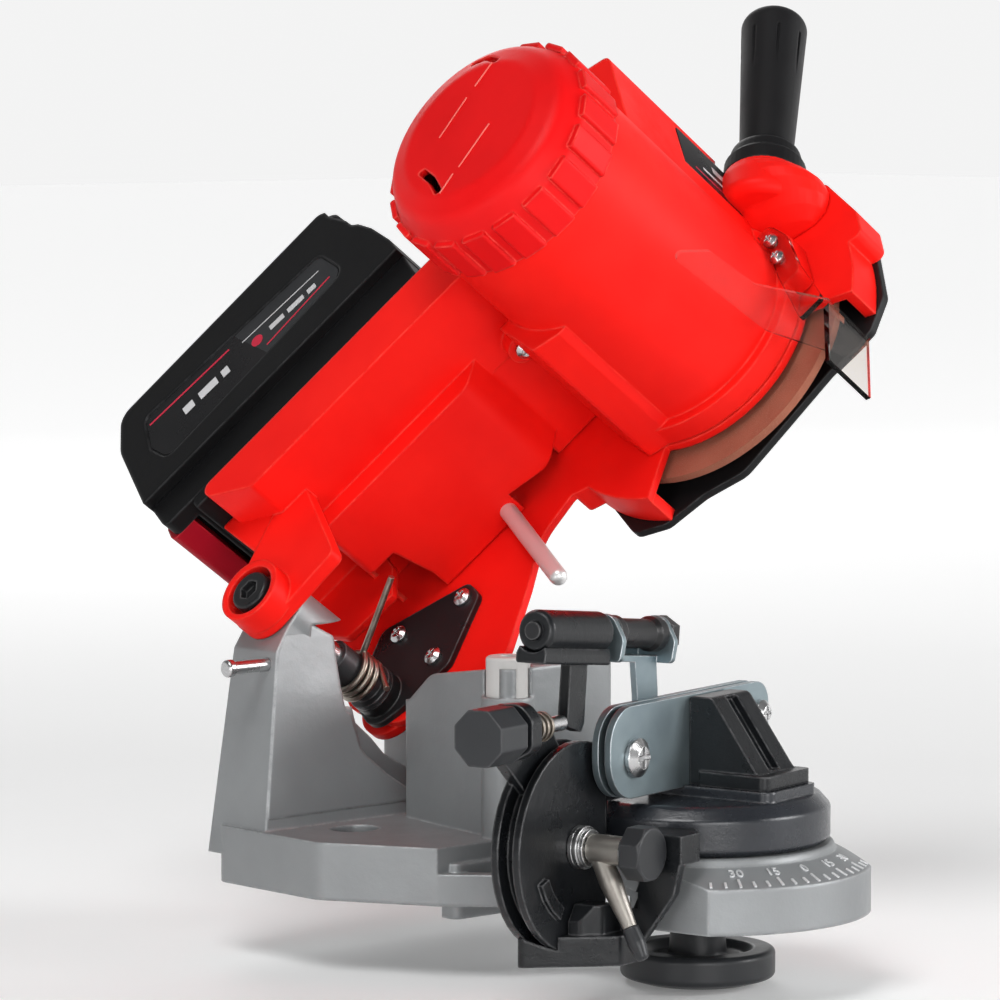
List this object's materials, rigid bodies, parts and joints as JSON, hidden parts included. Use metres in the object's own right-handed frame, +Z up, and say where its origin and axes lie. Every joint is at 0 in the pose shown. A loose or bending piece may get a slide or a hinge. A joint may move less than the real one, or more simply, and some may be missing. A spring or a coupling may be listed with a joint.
{
  "type": "electric chainsaw sharpener",
  "caption": "Battery bench grinder for saw chain: tilting motor head with a thin grinding wheel, swivelling chain vise with an indexing stop, cast base bolted to a bench.",
  "frame": {"origin": "middle of the two bench bolt holes, on the underside of the base plate", "axes": "+X to the right, +Y to the back, +Z up, seen by someone working at the chain vise"},
  "size_m": [0.2798, 0.3085, 0.3332],
  "materials": {
    "castBase": "silver grey casting, satin",
    "steelBright": "zinc plated, semi bright",
    "steelBlack": "black oxide, satin",
    "steelDark": "dark lamination stack",
    "restBoss": "pale grey, matte",
    "redShell": "red shell, fine satin grain",
    "coverBlack": "fine grain",
    "gripBlack": "ribbed rubber",
    "rockerBlack": "smooth",
    "clearShield": "clear sheet",
    "abrasive": "coarse bonded grain, brown",
    "zincPlate": "bluish zinc plate",
    "bushGrey": "turned, dull grey",
    "springSteel": "oiled spring wire",
    "batteryBlack": "fine grain case",
    "buttonRed": "ribbed button",
    "viseBlack": "black powder coat, satin",
    "knobBlack": "moulded, fine grain"
  },
  "bodies": {
    "base": {"base_casting": "castBase", "pivot_axle": "steelBright", "pivot_bolt": "steelBlack", "lock_washer": "steelBright", "tower_pin": "steelBright", "stop_boss": "restBoss", "depth_stop_screw": "steelBright", "depth_stop_nut": "steelBright"},
    "head": {"motor_housing": "redShell", "motor_cap": "redShell", "housing_screws": "steelBlack", "wheel_guard": "redShell", "guard_cover": "coverBlack", "cover_screws": "steelBright", "handle_collar": "coverBlack", "handle_grip": "gripBlack", "switch_frame": "coverBlack", "shield_bracket": "clearShield", "shield_screws": "steelBright", "motor_stator": "steelDark", "shaft_bearings": "steelBright", "hinge_bracket": "steelBlack", "bracket_screws": "steelBright", "spring_bush": "bushGrey", "torsion_spring": "springSteel", "stop_pin": "steelBright", "battery_rail": "batteryBlack"},
    "spindle": {"motor_shaft": "steelBright", "motor_rotor": "steelDark", "wheel_flange_inner": "steelBright", "wheel_flange_outer": "steelBright", "wheel_nut": "steelBright", "grinding_wheel": "abrasive"},
    "rocker": {"switch_rocker": "rockerBlack"},
    "shield": {"chip_shield": "clearShield"},
    "battery": {"battery_case_lower": "batteryBlack", "battery_case_upper": "batteryBlack"},
    "button": {"battery_button": "buttonRed"},
    "vise": {"vise_turntable": "viseBlack", "vise_block": "viseBlack", "rail_fixed": "zincPlate", "rail_screws": "steelBright", "quadrant_drum": "viseBlack", "quadrant_arm": "viseBlack", "clamp_bolt": "steelBright", "clamp_washers": "steelBright", "lock_stud": "steelBright", "feed_spring": "springSteel"},
    "lockKnob": {"lock_knob": "knobBlack"},
    "clampRail": {"rail_moving": "zincPlate", "stop_bracket": "zincPlate", "stop_bolt": "steelBright", "stop_bushing": "steelBlack"},
    "stopCarriage": {"stop_sleeve": "viseBlack"},
    "pawl": {"stop_pawl": "viseBlack"},
    "lever": {"clamp_lever": "steelBright", "lever_tip": "knobBlack"},
    "clampKnob": {"clamp_knob": "knobBlack"},
    "feedKnob": {"feed_knob": "knobBlack", "feed_screw": "steelBright"}
  },
  "joints": [
    {"name": "head_swing", "type": "hinge", "parent": "base", "child": "head", "pos_m": [-0.0127, 0.0325, 0.0569], "axis": [0.8192, 0, -0.5736], "range_deg": [0, 34], "stiffness_Nm_per_rad": 7.5, "springref_deg": -7.05, "deforming": ["torsion_spring"]},
    {"name": "wheel_spin", "type": "hinge", "parent": "head", "child": "spindle", "pos_m": [0.07711, -0.03711, 0.18515], "axis": [-0.8192, 0, 0.5736], "continuous": true},
    {"name": "shield_flip", "type": "hinge", "parent": "head", "child": "shield", "pos_m": [0.08546, -0.0991, 0.19708], "axis": [-0.8192, 0, 0.5736], "range_deg": [0, 55]},
    {"name": "switch_rock", "type": "hinge", "parent": "head", "child": "rocker", "pos_m": [0.05901, -0.00117, 0.23951], "axis": [-0.8192, 0, 0.5736], "range_deg": [-6, 6]},
    {"name": "battery_slide", "type": "slide", "parent": "head", "child": "battery", "axis": [-0.4967, 0.5, -0.7094], "range_m": [0, 0.11]},
    {"name": "release_press", "type": "slide", "parent": "battery", "child": "button", "axis": [0.4967, -0.5, 0.7094], "range_m": [0, 0.002], "stiffness_N_per_m": 900, "springref_m": -0.002},
    {"name": "vise_turn", "type": "hinge", "parent": "base", "child": "vise", "pos_m": [0, -0.113, 0.03], "axis": [0, 0, 1], "range_deg": [-40, 10]},
    {"name": "lock_knob_turn", "type": "hinge", "parent": "vise", "child": "lockKnob", "pos_m": [0, -0.113, -0.015], "axis": [0, 0, 1], "continuous": true},
    {"name": "clamp_lever_turn", "type": "hinge", "parent": "vise", "child": "lever", "pos_m": [-0.06501, -0.12921, 0.029], "axis": [-0.2419, 0.9703, 0], "range_deg": [0, 14]},
    {"name": "rail_close", "type": "slide", "parent": "vise", "child": "clampRail", "axis": [0.2419, -0.9703, 0], "range_m": [0, 0.0009]},
    {"name": "clamp_knob_turn", "type": "hinge", "parent": "vise", "child": "clampKnob", "pos_m": [-0.06017, -0.14861, 0.029], "axis": [-0.2419, 0.9703, 0], "continuous": true},
    {"name": "feed_turn", "type": "hinge", "parent": "vise", "child": "feedKnob", "pos_m": [-0.10794, -0.13476, 0.0715], "axis": [0.9703, 0.2419, 0], "range_deg": [0, 720]},
    {"name": "stop_feed", "type": "slide", "parent": "clampRail", "child": "stopCarriage", "axis": [0.9646, 0.2405, -0.108], "range_m": [0, 0.002]},
    {"name": "pawl_flip", "type": "hinge", "parent": "stopCarriage", "child": "pawl", "pos_m": [-0.05167, -0.12073, 0.0988], "axis": [0.9646, 0.2405, -0.108], "range_deg": [0, 95]}
  ],
  "couplings": [
    {"joint": "rail_close", "follows": "clamp_lever_turn", "m_per_rad": 0.0036833},
    {"joint": "stop_feed", "follows": "feed_turn", "m_per_rad": 0.00015914}
  ]
}
